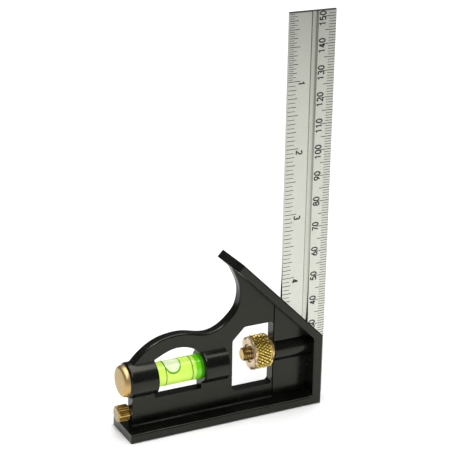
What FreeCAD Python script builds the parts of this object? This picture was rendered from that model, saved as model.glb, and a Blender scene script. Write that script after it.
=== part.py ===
# Combination square: cast head with a 90 degree and a 45 degree face, a sliding graduated blade,
# a draw-bolt clamp with a knurled brass nut, a spirit vial and a scriber in the base of the head.
#
# Frame: millimetres, +Z up.  The head stands on its base face (Z = 0) and the blade stands upright.
# Each body is drawn with X = 0 at the left end of the head's base and is then moved by -origin_x, so
# that the origin is on the base plane under the middle of the whole tool.  Y = 0 is the mid-plane of
# the blade and of the head's web.  The side with the blade's clamping groove faces -Y.

import FreeCAD, Part
import Sketcher
import math
import os

V = FreeCAD.Vector
doc = FreeCAD.newDocument("combination_square")
sheet = doc.addObject("Spreadsheet::Sheet", "sizes")

# ------------------------------------------------------------------ driving dimensions (mm)
DIMS = [
    ("origin_x", 41.0),          # left end of the base to the frame's origin
    # head, outer frame
    ("base_len", 79.4), ("base_width", 17.7), ("base_thick", 3.6),
    ("rim_thick", 3.9), ("rim_height", 28.4), ("miter_thick", 3.3), ("miter_tip", 44.8),
    # head, web and blade housing
    ("web_thick", 4.2), ("web_start", 3.3), ("web_end_height", 28.0),
    ("housing_thick", 5.2), ("housing_start", 61.5), ("cove_radius", 0.7), ("cove_small", 1.4),
    # spirit level barrels
    ("vial_height", 21.6), ("barrel_radius", 6.8), ("barrel_start", 1.4),
    ("vial_win_left", 12.2), ("vial_win_right", 31.2), ("vial_win_bottom", 13.2),
    ("barrel_finish", 41.0), ("vial_bore_radius", 4.85), ("vial_bore_depth", 35.6),
    # nut window and clamp boss
    ("nut_win_left", 44.1), ("nut_win_right", 61.2), ("nut_win_bottom", 9.2),
    ("nut_win_top", 35.0), ("nut_win_chamfer", 5.0), ("nut_win_round", 1.5),
    ("clamp_height", 22.7), ("boss_radius", 4.9), ("clamp_guide_radius", 2.70),
    ("clamp_bore_radius", 3.50), ("clamp_guide_len", 1.0),
    # blade and its slot
    ("blade_left", 65.4), ("blade_width", 19.0), ("blade_thick", 1.2), ("blade_length", 152.4),
    ("blade_clear", 0.05), ("groove_left", 74.4), ("groove_width", 2.6), ("groove_depth", 0.45),
    ("relief_bottom", 11.0), ("relief_top", 34.0), ("relief_depth", 0.45),
    # draw bolt
    ("bolt_start", 49.0), ("bolt_radius", 2.60), ("bolt_shoulder", 64.0), ("bolt_head_radius", 3.35),
    ("bolt_finish", 77.7), ("bolt_slot_start", 64.8), ("tongue_width", 2.0), ("tongue_gap", 0.05),
    ("tongue_reach", 0.38), ("tongue_height", 5.0),
    # nut
    ("nut_start", 52.0), ("nut_len", 7.9), ("nut_radius", 6.9), ("nut_collar_radius", 4.3),
    ("nut_seat_gap", 0.05), ("nut_bore_radius", 2.66), ("nut_chamfer", 0.7),
    ("nut_flutes", 6), ("flute_radius", 2.5), ("flute_centre", 8.3),
    # spring
    ("spring_wire", 0.40), ("spring_mean_radius", 3.03), ("spring_pitch", 0.52), ("spring_turns", 2.6),
    # vial
    ("tube_start", 5.5), ("tube_len", 31.2), ("tube_radius", 4.72), ("cavity_radius", 3.50),
    ("cavity_finish", 30.6), ("plug_len", 4.0), ("inner_gap", 0.03),
    ("bubble_centre", 19.5), ("bubble_half_len", 3.5), ("bubble_half_width", 2.5), ("bubble_half_height", 1.5),
    # vial cap
    ("cap_start", -1.0), ("cap_radius", 6.0), ("cap_spigot_radius", 4.80), ("cap_spigot_len", 3.9),
    ("cap_round", 1.6),
    # scriber and its bushing
    ("scriber_height", 8.75), ("knob_start", -2.4), ("knob_len", 4.6), ("knob_radius", 3.1),
    ("knob_flutes", 22), ("knob_flute_radius", 0.26), ("knob_chamfer", 0.35),
    ("needle_start", -0.5), ("needle_len", 38.5), ("needle_radius", 1.10), ("needle_tip", 4.0),
    ("bushing_start", 2.6), ("bushing_flange", 0.7), ("bushing_flange_radius", 2.3),
    ("bushing_len", 6.4), ("bushing_radius", 1.50), ("bushing_bore_radius", 1.15),
    ("scriber_bore_radius", 1.35), ("scriber_bore_finish", 43.0),
    # small edge rounds of the casting
    ("edge_round", 0.65), ("mouth_round", 0.9),
]
# outline of the free, swept edge of the web, from the vial end up to the tip of the 45 degree flange
SWEEP = [(3.3, 28.0), (6.05, 30.9), (10.05, 33.9), (14.1, 35.8), (18.1, 36.7), (22.2, 37.0), (26.3, 36.5),
         (30.4, 35.5), (34.5, 35.2), (38.7, 36.5), (42.8, 39.5), (45.65, 42.9), (46.85, 46.8), (46.9, 50.8),
         (46.1, 53.8), (44.4, 57.6), (43.05, 60.5)]
# crown of the vial window, from left to right
CROWN = [(12.2, 28.6), (16.4, 30.6), (20.5, 31.7), (24.5, 31.4), (28.6, 29.7), (31.2, 26.9)]
for i, (a, b) in enumerate(SWEEP):
    DIMS += [("sweep_x_%02d" % i, a), ("sweep_z_%02d" % i, b)]
for i, (a, b) in enumerate(CROWN):
    DIMS += [("crown_x_%02d" % i, a), ("crown_z_%02d" % i, b)]

for row, (name, value) in enumerate(DIMS, start=1):
    sheet.set("A%d" % row, name)
    sheet.set("B%d" % row, repr(value))
    sheet.setAlias("B%d" % row, name)
doc.recompute()


class Q:
    """A size that carries its number and the sheet expression it comes from."""

    def __init__(self, v, e):
        self.v = float(v)
        self.e = e

    def __add__(self, o):
        o = q(o)
        return Q(self.v + o.v, "(%s + %s)" % (self.e, o.e))

    def __sub__(self, o):
        o = q(o)
        return Q(self.v - o.v, "(%s - %s)" % (self.e, o.e))

    def __mul__(self, o):
        o = q(o)
        return Q(self.v * o.v, "(%s * %s)" % (self.e, o.e))

    def __truediv__(self, o):
        o = q(o)
        return Q(self.v / o.v, "(%s / %s)" % (self.e, o.e))

    def __neg__(self):
        return Q(-self.v, "(0 - %s)" % self.e)


def q(x):
    if isinstance(x, Q):
        return x
    if isinstance(x, str):
        return Q(getattr(sheet, x), "sizes." + x)
    return Q(x, repr(float(x)))


# ------------------------------------------------------------------ helpers
def new_body(label):
    b = doc.addObject("PartDesign::Body", label)
    b.Label = label
    b.setExpression("Placement.Base.x", "-sizes.origin_x")
    return b


def attach(o, b, role):
    plane = [f for f in b.Origin.OriginFeatures if f.Role == role][0]
    o.AttachmentSupport = [(plane, "")]
    o.MapMode = "FlatFace"


def cylinder(b, name, kind, x0, length, radius, height):
    """A cylinder along +X from x0, with its axis at Y = 0, Z = height."""
    o = b.newObject("PartDesign::%sCylinder" % kind, name)
    attach(o, b, "YZ_Plane")
    o.setExpression("AttachmentOffset.Base.z", q(x0).e)
    o.setExpression("AttachmentOffset.Base.y", q(height).e)
    o.setExpression("Radius", q(radius).e)
    o.setExpression("Height", q(length).e)
    return o


def box(b, name, kind, x0, y0, z0, lx, ly, lz):
    """An axis-parallel box; attached to the XY plane, so that its length, width, height are X, Y, Z."""
    o = b.newObject("PartDesign::%sBox" % kind, name)
    attach(o, b, "XY_Plane")
    o.setExpression("AttachmentOffset.Base.x", q(x0).e)
    o.setExpression("AttachmentOffset.Base.y", q(y0).e)
    o.setExpression("AttachmentOffset.Base.z", q(z0).e)
    o.setExpression("Length", q(lx).e)
    o.setExpression("Width", q(ly).e)
    o.setExpression("Height", q(lz).e)
    return o


def pin(sk, gid, pos, x, y):
    """Fix a sketch point at x, y from the sketch origin, both bound to the sheet."""
    x, y = q(x), q(y)
    c = sk.addConstraint(Sketcher.Constraint("DistanceX", -1, 1, gid, pos, x.v))
    sk.setExpression("Constraints[%d]" % c, x.e)
    c = sk.addConstraint(Sketcher.Constraint("DistanceY", -1, 1, gid, pos, y.v))
    sk.setExpression("Constraints[%d]" % c, y.e)


def outline(b, name, role, pts, spline=None):
    """A closed sketch through pts; the span after point number spline[0] is a curve through spline[1]."""
    sk = b.newObject("Sketcher::SketchObject", name)
    attach(sk, b, role)
    pts = [(q(x), q(y)) for x, y in pts]
    ids = []
    n = len(pts)
    for i in range(n):
        p0, p1 = pts[i], pts[(i + 1) % n]
        a, c = V(p0[0].v, p0[1].v, 0), V(p1[0].v, p1[1].v, 0)
        if spline and spline[0] == i:
            mid = [V(q(x).v, q(y).v, 0) for x, y in spline[1]]
            curve = Part.BSplineCurve()
            curve.interpolate([a] + mid + [c])
            ids.append(sk.addGeometry(curve, False))
        else:
            ids.append(sk.addGeometry(Part.LineSegment(a, c), False))
    for i in range(n):
        sk.addConstraint(Sketcher.Constraint("Coincident", ids[i], 2, ids[(i + 1) % n], 1))
    for i in range(n):
        pin(sk, ids[i], 1, pts[i][0], pts[i][1])
    return sk


def midplane(o):
    if hasattr(o, "SideType"):
        o.SideType = "Symmetric"
    else:
        o.Midplane = True


def pad(b, name, sk, length):
    o = b.newObject("PartDesign::Pad", name)
    o.Profile = sk
    o.setExpression("Length", q(length).e)
    midplane(o)
    sk.Visibility = False
    return o


def pocket(b, name, sk, length):
    o = b.newObject("PartDesign::Pocket", name)
    o.Profile = sk
    o.Type = 0
    o.setExpression("Length", q(length).e)
    midplane(o)
    sk.Visibility = False
    return o


def dress(b, name, kind, base, edges, size_name, prop):
    o = b.newObject("PartDesign::%s" % kind, name)
    o.Base = (base, edges)
    o.setExpression(prop, q(size_name).e)
    return o


def edge_names(shape, test):
    out = []
    for i, e in enumerate(shape.Edges):
        if test(e):
            out.append("Edge%d" % (i + 1))
    return out


def near(a, b, tol=1e-3):
    return abs(a - b) < tol


def circle_at(e, x, r):
    """True for a full circular edge of radius r in the plane X = x."""
    return (e.Curve.TypeId == "Part::GeomCircle" and near(e.Curve.Radius, r)
            and near(e.BoundBox.XMin, x) and near(e.BoundBox.XMax, x))


root2 = math.sqrt(2.0)

# ------------------------------------------------------------------ head casting
head = new_body("head_casting")
L, BT, RT = q("base_len"), q("base_thick"), q("rim_thick")
tipx, tipz = q("miter_tip"), q("base_len") + q("rim_height") - q("miter_tip")
half_t = q("miter_thick") / root2
inner_sum = L + q("rim_height") - q("miter_thick") * root2      # X + Z on the inner side of the flange
frame_pts = [
    (0, 0), (L, 0), (L, q("rim_height")), (tipx, tipz), (tipx - half_t, tipz - half_t),
    (L - RT, inner_sum - (L - RT)), (L - RT, BT), (0, BT),
]
frame_sk = outline(head, "frame_outline", "XZ_Plane", frame_pts)
frame_pad = pad(head, "frame_of_flanges", frame_sk, "base_width")
doc.recompute()


def along_y(e):
    d = e.BoundBox
    return e.Curve.TypeId == "Part::GeomLine" and d.XLength < 1e-6 and d.ZLength < 1e-6


def flange_inner_corner(e):
    x, z = e.BoundBox.XMin, e.BoundBox.ZMin
    return along_y(e) and near(x, L.v - RT.v) and (near(z, BT.v) or near(z, inner_sum.v - (L.v - RT.v)))


names = edge_names(frame_pad.Shape, flange_inner_corner)
corners = dress(head, "flange_inner_corners", "Fillet", frame_pad, names, "cove_small", "Radius")
doc.recompute()
ew = q("base_width").v / 2.0
names = edge_names(corners.Shape, lambda e: near(abs(e.BoundBox.YMin), ew) and near(e.BoundBox.YLength, 0))
flange_rounds = dress(head, "flange_edge_rounds", "Fillet", corners, names, "edge_round", "Radius")
doc.recompute()

# web: left end, swept free edge, then hidden inside the 45 degree flange, the rim and the base
hide = q(1.2)
sweep = [("sweep_x_%02d" % i, "sweep_z_%02d" % i) for i in range(len(SWEEP))]
web_pts = [
    (q("web_start"), BT - hide), sweep[0], sweep[-1],
    (tipx - 0.4, tipz - 1.4), (L - hide, q("rim_height") - hide), (L - hide, BT - hide),
]
web_sk = outline(head, "web_outline", "XZ_Plane", web_pts, spline=(1, sweep[1:-1]))
web_pad = pad(head, "web", web_sk, "web_thick")
doc.recompute()
wh = q("web_thick") / 2.0
names = edge_names(web_pad.Shape, lambda e: e.Curve.TypeId == "Part::GeomBSplineCurve"
                   and near(abs(e.BoundBox.YMin), wh.v, 0.01) and e.BoundBox.YLength < 1e-3
                   and e.BoundBox.XLength > 10)
sweep_rounds = dress(head, "sweep_edge_rounds", "Fillet", web_pad, names, "edge_round", "Radius")
doc.recompute()

# thicker housing round the blade slot
hs = q("housing_start")
house_sk = outline(head, "housing_outline", "XZ_Plane", [
    (hs, BT - hide), (L - hide, BT - hide), (L - hide, q("rim_height") - hide),
    (hs, inner_sum - hs + 1.0)])
house_pad = pad(head, "blade_housing", house_sk, "housing_thick")

# cove between the base flange and the web: a prism along X with two hollow quarter-round sides
cove = head.newObject("Sketcher::SketchObject", "cove_section")
attach(cove, head, "YZ_Plane")
cove.setExpression("AttachmentOffset.Base.z", "sizes.web_start")
cr = q("cove_radius")
zt = BT + cr
left_c, right_c = V(-(wh.v + cr.v), zt.v, 0), V(wh.v + cr.v, zt.v, 0)
g0 = cove.addGeometry(Part.LineSegment(V(-(wh.v + cr.v), BT.v - 1, 0), V(wh.v + cr.v, BT.v - 1, 0)), False)
g1 = cove.addGeometry(Part.LineSegment(V(wh.v + cr.v, BT.v - 1, 0), V(wh.v + cr.v, BT.v, 0)), False)
g2 = cove.addGeometry(Part.ArcOfCircle(Part.Circle(right_c, V(0, 0, 1), cr.v), math.pi, 1.5 * math.pi), False)
g3 = cove.addGeometry(Part.LineSegment(V(wh.v, zt.v, 0), V(-wh.v, zt.v, 0)), False)
g4 = cove.addGeometry(Part.ArcOfCircle(Part.Circle(left_c, V(0, 0, 1), cr.v), 1.5 * math.pi, 2 * math.pi), False)
g5 = cove.addGeometry(Part.LineSegment(V(-(wh.v + cr.v), BT.v, 0), V(-(wh.v + cr.v), BT.v - 1, 0)), False)
for a, pa, c, pc in ((g0, 2, g1, 1), (g1, 2, g2, 2), (g2, 1, g3, 1), (g3, 2, g4, 2), (g4, 1, g5, 1), (g5, 2, g0, 1)):
    cove.addConstraint(Sketcher.Constraint("Coincident", a, pa, c, pc))
pin(cove, g0, 1, -(wh + cr), BT - 1.0)
pin(cove, g0, 2, wh + cr, BT - 1.0)


def fix(sk, kind, gid, pos, size):
    c = sk.addConstraint(Sketcher.Constraint(kind, -1, 1, gid, pos, size.v))
    sk.setExpression("Constraints[%d]" % c, size.e)


for arc, side in ((g2, wh + cr), (g4, -(wh + cr))):
    pin(cove, arc, 3, side, zt)
    c = cove.addConstraint(Sketcher.Constraint("Radius", arc, cr.v))
    cove.setExpression("Constraints[%d]" % c, cr.e)
fix(cove, "DistanceX", g2, 2, wh + cr)
fix(cove, "DistanceY", g2, 1, zt)
fix(cove, "DistanceX", g4, 1, -(wh + cr))
fix(cove, "DistanceY", g4, 2, zt)
cove_pad = head.newObject("PartDesign::Pad", "foot_coves")
cove_pad.Profile = cove
cove_pad.setExpression("Length", (L - q("web_start") - hide).e)
doc.recompute()

# barrels of the spirit level and the boss of the clamp
b1 = cylinder(head, "vial_barrel_left", "Additive", "barrel_start", q("vial_win_left") - q("barrel_start"),
              "barrel_radius", "vial_height")
b2 = cylinder(head, "vial_barrel_right", "Additive", "vial_win_right", q("barrel_finish") - q("vial_win_right"),
              "barrel_radius", "vial_height")
b3 = cylinder(head, "clamp_boss", "Additive", "nut_win_right", L - q("nut_win_right") - hide,
              "boss_radius", "clamp_height")
doc.recompute()

# the right barrel's mouth, rounded where it faces the window
mouth = head.Tip
names = edge_names(mouth.Shape, lambda e: circle_at(e, q("vial_win_right").v, q("barrel_radius").v)
                   or circle_at(e, q("barrel_start").v, q("barrel_radius").v))
dress(head, "barrel_mouth_round", "Fillet", mouth, names, "mouth_round", "Radius")
doc.recompute()

# windows
nl, nr, nb, nt, nc = (q("nut_win_left"), q("nut_win_right"), q("nut_win_bottom"), q("nut_win_top"),
                      q("nut_win_chamfer"))
nut_sk = outline(head, "nut_window_outline", "XZ_Plane",
                 [(nl, nb), (nr, nb), (nr, nt), (nl + nc, nt), (nl, nt - nc)])
nut_win = pocket(head, "nut_window", nut_sk, q("housing_thick") + 2.0)
crown = [("crown_x_%02d" % i, "crown_z_%02d" % i) for i in range(len(CROWN))]
vial_sk = outline(head, "vial_window_outline", "XZ_Plane",
                  [(q("vial_win_right"), q("vial_win_bottom")), (q("vial_win_left"), q("vial_win_bottom")),
                   crown[0], crown[-1]], spline=(2, crown[1:-1]))
vial_win = pocket(head, "vial_window", vial_sk, q("barrel_radius") * 2 + 2.0)
doc.recompute()

# bores
c1 = cylinder(head, "vial_bore", "Subtractive", q("barrel_start") - 1.0, q("vial_bore_depth") + 1.0,
              "vial_bore_radius", "vial_height")
c2 = cylinder(head, "clamp_guide", "Subtractive", q("nut_win_right") - 1.0, q("clamp_guide_len") + 1.5,
              "clamp_guide_radius", "clamp_height")
c3 = cylinder(head, "clamp_bore", "Subtractive", q("nut_win_right") + q("clamp_guide_len"),
              L - q("nut_win_right"), "clamp_bore_radius", "clamp_height")
c4 = cylinder(head, "bushing_bore", "Subtractive", q("web_start") - 1.0,
              q("bushing_start") + q("bushing_len") - q("web_start") + 1.0, q("bushing_radius") + 0.02,
              "scriber_height")
c5 = cylinder(head, "scriber_bore", "Subtractive", "web_start", q("scriber_bore_finish") - q("web_start"),
              "scriber_bore_radius", "scriber_height")
doc.recompute()

# rounded corners of the nut window, before the slot is milled
before = head.Tip


def win_corner(e):
    if not along_y(e):
        return False
    x, z = e.BoundBox.XMin, e.BoundBox.ZMin
    for cx, cz in ((nl.v, nb.v), (nr.v, nb.v), (nr.v, nt.v), (nl.v + nc.v, nt.v), (nl.v, nt.v - nc.v)):
        if near(x, cx) and near(z, cz):
            return True
    return False


names = edge_names(before.Shape, win_corner)
r1 = dress(head, "nut_window_corners", "Fillet", before, names, "nut_win_round", "Radius")
doc.recompute()


# slot for the blade, open on the right of the head, with a relief at the middle of its floor
sl = q("blade_left") - q("blade_clear")
slot_w = q("blade_thick") + q("blade_clear") * 2
s1 = box(head, "blade_slot", "Subtractive", sl, -(slot_w / 2.0), -1.0, L - sl + 5.0, slot_w, 70.0)
s2 = box(head, "slot_relief", "Subtractive", sl - q("relief_depth"), -(slot_w / 2.0), "relief_bottom",
         1.0, slot_w, q("relief_top") - q("relief_bottom"))
doc.recompute()

# ------------------------------------------------------------------ blade
blade = new_body("blade")
box(blade, "blade_strip", "Additive", "blade_left", -(q("blade_thick") / 2.0), 0.0,
    "blade_width", "blade_thick", "blade_length")
box(blade, "clamp_groove", "Subtractive", "groove_left", -(q("blade_thick") / 2.0) - 1.0, -1.0,
    "groove_width", q("groove_depth") + 1.0, q("blade_length") + 2.0)

# ------------------------------------------------------------------ draw bolt
bolt = new_body("clamp_bolt")
cylinder(bolt, "bolt_shank", "Additive", "bolt_start", q("bolt_shoulder") - q("bolt_start") + 0.1,
         "bolt_radius", "clamp_height")
cylinder(bolt, "bolt_head", "Additive", "bolt_shoulder", q("bolt_finish") - q("bolt_shoulder"),
         "bolt_head_radius", "clamp_height")
box(bolt, "bolt_slot", "Subtractive", "bolt_slot_start", -(slot_w / 2.0), q("clamp_height") - 5.0,
    q("bolt_finish") - q("bolt_slot_start") + 1.0, slot_w, 10.0)
box(bolt, "bolt_tongue", "Additive", q("groove_left") + q("tongue_gap"), -(slot_w / 2.0) - 0.3,
    q("clamp_height") - q("tongue_height") / 2.0, "tongue_width", q("tongue_reach") + q("blade_clear") + 0.3,
    "tongue_height")
doc.recompute()
bolt_tip = bolt.Tip
names = edge_names(bolt_tip.Shape, lambda e: circle_at(e, q("bolt_start").v, q("bolt_radius").v))
dress(bolt, "bolt_point", "Chamfer", bolt_tip, names, "nut_chamfer", "Size")
doc.recompute()

# ------------------------------------------------------------------ nut
nut = new_body("clamp_nut")
cylinder(nut, "nut_barrel", "Additive", "nut_start", "nut_len", "nut_radius", "clamp_height")
doc.recompute()
nut_tip = nut.Tip
names = edge_names(nut_tip.Shape, lambda e: circle_at(e, q("nut_start").v, q("nut_radius").v)
                   or circle_at(e, q("nut_start").v + q("nut_len").v, q("nut_radius").v))
dress(nut, "nut_end_chamfers", "Chamfer", nut_tip, names, "nut_chamfer", "Size")
flute = cylinder(nut, "nut_flute", "Subtractive", q("nut_start") - 1.0, q("nut_len") + 2.0, "flute_radius",
                 q("clamp_height") + q("flute_centre"))
# half a step round from the top, so that a lobe stands straight up
flute.setExpression("AttachmentOffset.Base.x", "sizes.flute_centre * sin(180 deg / sizes.nut_flutes)")
flute.setExpression("AttachmentOffset.Base.y",
                    "sizes.clamp_height + sizes.flute_centre * cos(180 deg / sizes.nut_flutes)")
doc.recompute()
axis_sk = nut.newObject("Sketcher::SketchObject", "nut_axis")
attach(axis_sk, nut, "YZ_Plane")
axis_sk.setExpression("AttachmentOffset.Base.y", "sizes.clamp_height")
polar = nut.newObject("PartDesign::PolarPattern", "nut_flutes_round")
polar.Originals = [flute]
polar.Axis = (axis_sk, ["N_Axis"])
polar.Angle = 360
polar.setExpression("Occurrences", "sizes.nut_flutes")
nut.Tip = polar
doc.recompute()
cylinder(nut, "nut_collar", "Additive", q("nut_start") + q("nut_len") - 0.1,
         q("nut_win_right") - q("nut_seat_gap") - q("nut_start") - q("nut_len") + 0.1,
         "nut_collar_radius", "clamp_height")
cylinder(nut, "nut_bore", "Subtractive", q("nut_start") - 1.0, q("nut_len") + 8.0, "nut_bore_radius", "clamp_height")
doc.recompute()

# ------------------------------------------------------------------ clamp spring (a coil swept along a helix)
sw, sr = sheet.spring_wire, sheet.spring_mean_radius
helix = Part.makeHelix(sheet.spring_pitch, sheet.spring_pitch * sheet.spring_turns, sr)
ring = Part.Wire([Part.makeCircle(sw / 2.0, V(sr, 0, 0), V(0, 1, 0))])
coil = Part.Wire(helix.Edges).makePipeShell([ring], True, True)
coil.rotate(V(0, 0, 0), V(0, 1, 0), 90)
coil.translate(V(sheet.nut_win_right + sheet.clamp_guide_len + sw / 2.0 + 0.03, 0, sheet.clamp_height))
coil.translate(V(-sheet.origin_x, 0, 0))
spring = doc.addObject("Part::Feature", "clamp_spring")
spring.Label = "clamp_spring"
spring.Shape = coil

# ------------------------------------------------------------------ spirit vial
tube = new_body("vial_tube")
cylinder(tube, "tube_outside", "Additive", "tube_start", "tube_len", "tube_radius", "vial_height")
cylinder(tube, "tube_cavity", "Subtractive", q("tube_start") - 1.0, q("cavity_finish") - q("tube_start") + 1.0,
         "cavity_radius", "vial_height")
doc.recompute()

gap = q("inner_gap")
plug = new_body("vial_plug")
cylinder(plug, "plug_body", "Additive", "tube_start", "plug_len", q("cavity_radius") - gap, "vial_height")

liquid = new_body("vial_liquid")
lx = q("tube_start") + q("plug_len") + gap
cylinder(liquid, "liquid_column", "Additive", lx, q("cavity_finish") - gap - lx, q("cavity_radius") - gap,
         "vial_height")
bub = liquid.newObject("PartDesign::SubtractiveEllipsoid", "air_bubble")
attach(bub, liquid, "YZ_Plane")
bub.setExpression("AttachmentOffset.Base.z", "sizes.bubble_centre")
bub.setExpression("AttachmentOffset.Base.y",
                  (q("vial_height") + q("cavity_radius") - q("bubble_half_height") * 0.85).e)
bub.setExpression("Radius1", "sizes.bubble_half_len")
bub.setExpression("Radius2", "sizes.bubble_half_width")
bub.setExpression("Radius3", "sizes.bubble_half_height")
doc.recompute()

cap = new_body("vial_cap")
cylinder(cap, "cap_disc", "Additive", "cap_start", q("barrel_start") - q("cap_start"), "cap_radius", "vial_height")
doc.recompute()
cap_tip = cap.Tip
names = edge_names(cap_tip.Shape, lambda e: circle_at(e, q("cap_start").v, q("cap_radius").v))
dress(cap, "cap_edge_round", "Fillet", cap_tip, names, "cap_round", "Radius")
cylinder(cap, "cap_spigot", "Additive", q("barrel_start") - 0.1, q("cap_spigot_len") + 0.1, "cap_spigot_radius",
         "vial_height")
doc.recompute()

# ------------------------------------------------------------------ scriber and its bushing
knob = new_body("scriber_knob")
cylinder(knob, "knob_body", "Additive", "knob_start", "knob_len", "knob_radius", "scriber_height")
doc.recompute()
knob_tip = knob.Tip
names = edge_names(knob_tip.Shape, lambda e: circle_at(e, q("knob_start").v, q("knob_radius").v)
                   or circle_at(e, q("knob_start").v + q("knob_len").v, q("knob_radius").v))
dress(knob, "knob_chamfers", "Chamfer", knob_tip, names, "knob_chamfer", "Size")
kfl = cylinder(knob, "knob_flute", "Subtractive", q("knob_start") - 1.0, q("knob_len") + 2.0, "knob_flute_radius",
               q("scriber_height") + q("knob_radius") + 0.05)
doc.recompute()
kax = knob.newObject("Sketcher::SketchObject", "knob_axis")
attach(kax, knob, "YZ_Plane")
kax.setExpression("AttachmentOffset.Base.y", "sizes.scriber_height")
kpol = knob.newObject("PartDesign::PolarPattern", "knob_flutes_round")
kpol.Originals = [kfl]
kpol.Axis = (kax, ["N_Axis"])
kpol.Angle = 360
kpol.setExpression("Occurrences", "sizes.knob_flutes")
knob.Tip = kpol
doc.recompute()
cylinder(knob, "knob_socket", "Subtractive", q("needle_start") - 0.02, 10.0, q("needle_radius") + 0.02,
         "scriber_height")

needle = new_body("scriber_needle")
cylinder(needle, "needle_shank", "Additive", "needle_start", "needle_len", "needle_radius", "scriber_height")
pt = needle.newObject("PartDesign::AdditiveCone", "needle_point")
attach(pt, needle, "YZ_Plane")
pt.setExpression("AttachmentOffset.Base.z", (q("needle_start") + q("needle_len")).e)
pt.setExpression("AttachmentOffset.Base.y", "sizes.scriber_height")
pt.setExpression("Radius1", "sizes.needle_radius")
pt.Radius2 = 0.08
pt.setExpression("Height", "sizes.needle_tip")

bush = new_body("scriber_bushing")
cylinder(bush, "bushing_lip", "Additive", "bushing_start", "bushing_flange", "bushing_flange_radius", "scriber_height")
cylinder(bush, "bushing_sleeve", "Additive", "bushing_start", "bushing_len", "bushing_radius", "scriber_height")
cylinder(bush, "bushing_hole", "Subtractive", q("bushing_start") - 1.0, q("bushing_len") + 2.0,
         "bushing_bore_radius", "scriber_height")
doc.recompute()

# ------------------------------------------------------------------ checks and export
PIECES = [head, blade, bolt, nut, spring, tube, plug, liquid, cap, knob, needle, bush]
bad = []
for o in doc.Objects:
    if "Invalid" in o.State or "Error" in o.State:
        bad.append("%s: %s" % (o.Name, o.State))
for o in PIECES:
    if o.Shape.isNull() or not o.Shape.isValid() or not o.Shape.Solids:
        bad.append("%s: shape is not a valid solid" % o.Label)
if bad:
    raise RuntimeError("; ".join(bad))

# every cut has to take material away and every addition has to leave more
for o in (head, blade, bolt, nut, tube, liquid, cap, knob, needle, bush):
    last = None
    for f in o.Group:
        if not f.isDerivedFrom("PartDesign::Feature"):
            continue
        vol = f.Shape.Volume
        name = f.TypeId
        if last is not None:
            cuts = ("Pocket" in name or "Subtractive" in name)
            adds = ("Pad" in name or "Additive" in name)
            if (cuts and vol > last - 1e-6) or (adds and vol < last + 1e-6):
                raise RuntimeError("%s changed the volume the wrong way" % f.Name)
        last = vol

os.makedirs("parts", exist_ok=True)
for o in PIECES:
    bb = o.Shape.BoundBox
    print("%-16s solids %d  volume %9.1f  x %7.2f %7.2f  y %6.2f %6.2f  z %6.2f %7.2f" % (
        o.Label, len(o.Shape.Solids), o.Shape.Volume, bb.XMin, bb.XMax, bb.YMin, bb.YMax, bb.ZMin, bb.ZMax))
    o.Shape.exportStep("parts/%s.step" % o.Label)
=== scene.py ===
import math

import bmesh
import bpy
import numpy as np
from mathutils import Matrix, Vector


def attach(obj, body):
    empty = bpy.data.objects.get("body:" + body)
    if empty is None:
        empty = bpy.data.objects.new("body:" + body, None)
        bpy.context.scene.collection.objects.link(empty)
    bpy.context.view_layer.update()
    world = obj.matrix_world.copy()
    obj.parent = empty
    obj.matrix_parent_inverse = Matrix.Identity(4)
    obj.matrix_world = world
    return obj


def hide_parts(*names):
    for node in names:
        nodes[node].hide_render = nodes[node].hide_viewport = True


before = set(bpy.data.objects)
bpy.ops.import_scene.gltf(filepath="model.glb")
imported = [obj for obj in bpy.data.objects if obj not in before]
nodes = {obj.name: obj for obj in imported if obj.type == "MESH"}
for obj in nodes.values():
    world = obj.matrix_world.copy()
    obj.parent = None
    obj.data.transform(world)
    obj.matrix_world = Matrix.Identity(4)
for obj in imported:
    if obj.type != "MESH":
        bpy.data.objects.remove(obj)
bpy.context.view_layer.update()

scene = bpy.context.scene

# Lengths below are in millimetres with X = 0 at the left end of the base, as in the CAD part's own drawing.
# P() turns them into the row frame in metres.
MM = 0.001
X0 = 41.0


def P(x, y, z):
    return ((x - X0) * MM, y * MM, z * MM)


# ---------------------------------------------------------------------------------------------- camera
def aim_camera():
    pitch, yaw, roll = math.radians(20.29), math.radians(26.81), math.radians(0.88)
    fwd = Vector((math.sin(yaw) * math.cos(pitch), math.cos(yaw) * math.cos(pitch), -math.sin(pitch)))
    right = Vector((math.cos(yaw), -math.sin(yaw), 0.0))
    up = right.cross(fwd)
    r2 = math.cos(roll) * right + math.sin(roll) * up
    u2 = -math.sin(roll) * right + math.cos(roll) * up
    data = bpy.data.cameras.new("camera")
    data.sensor_width = 36.0
    data.lens = 119.64
    data.clip_start = 0.01
    data.clip_end = 50.0
    cam = bpy.data.objects.new("camera", data)
    m = Matrix((r2, u2, -fwd)).transposed().to_4x4()
    m.translation = Vector((-0.22976, -0.45504, 0.26462))
    cam.matrix_world = m
    scene.collection.objects.link(cam)
    scene.camera = cam


aim_camera()


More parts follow.
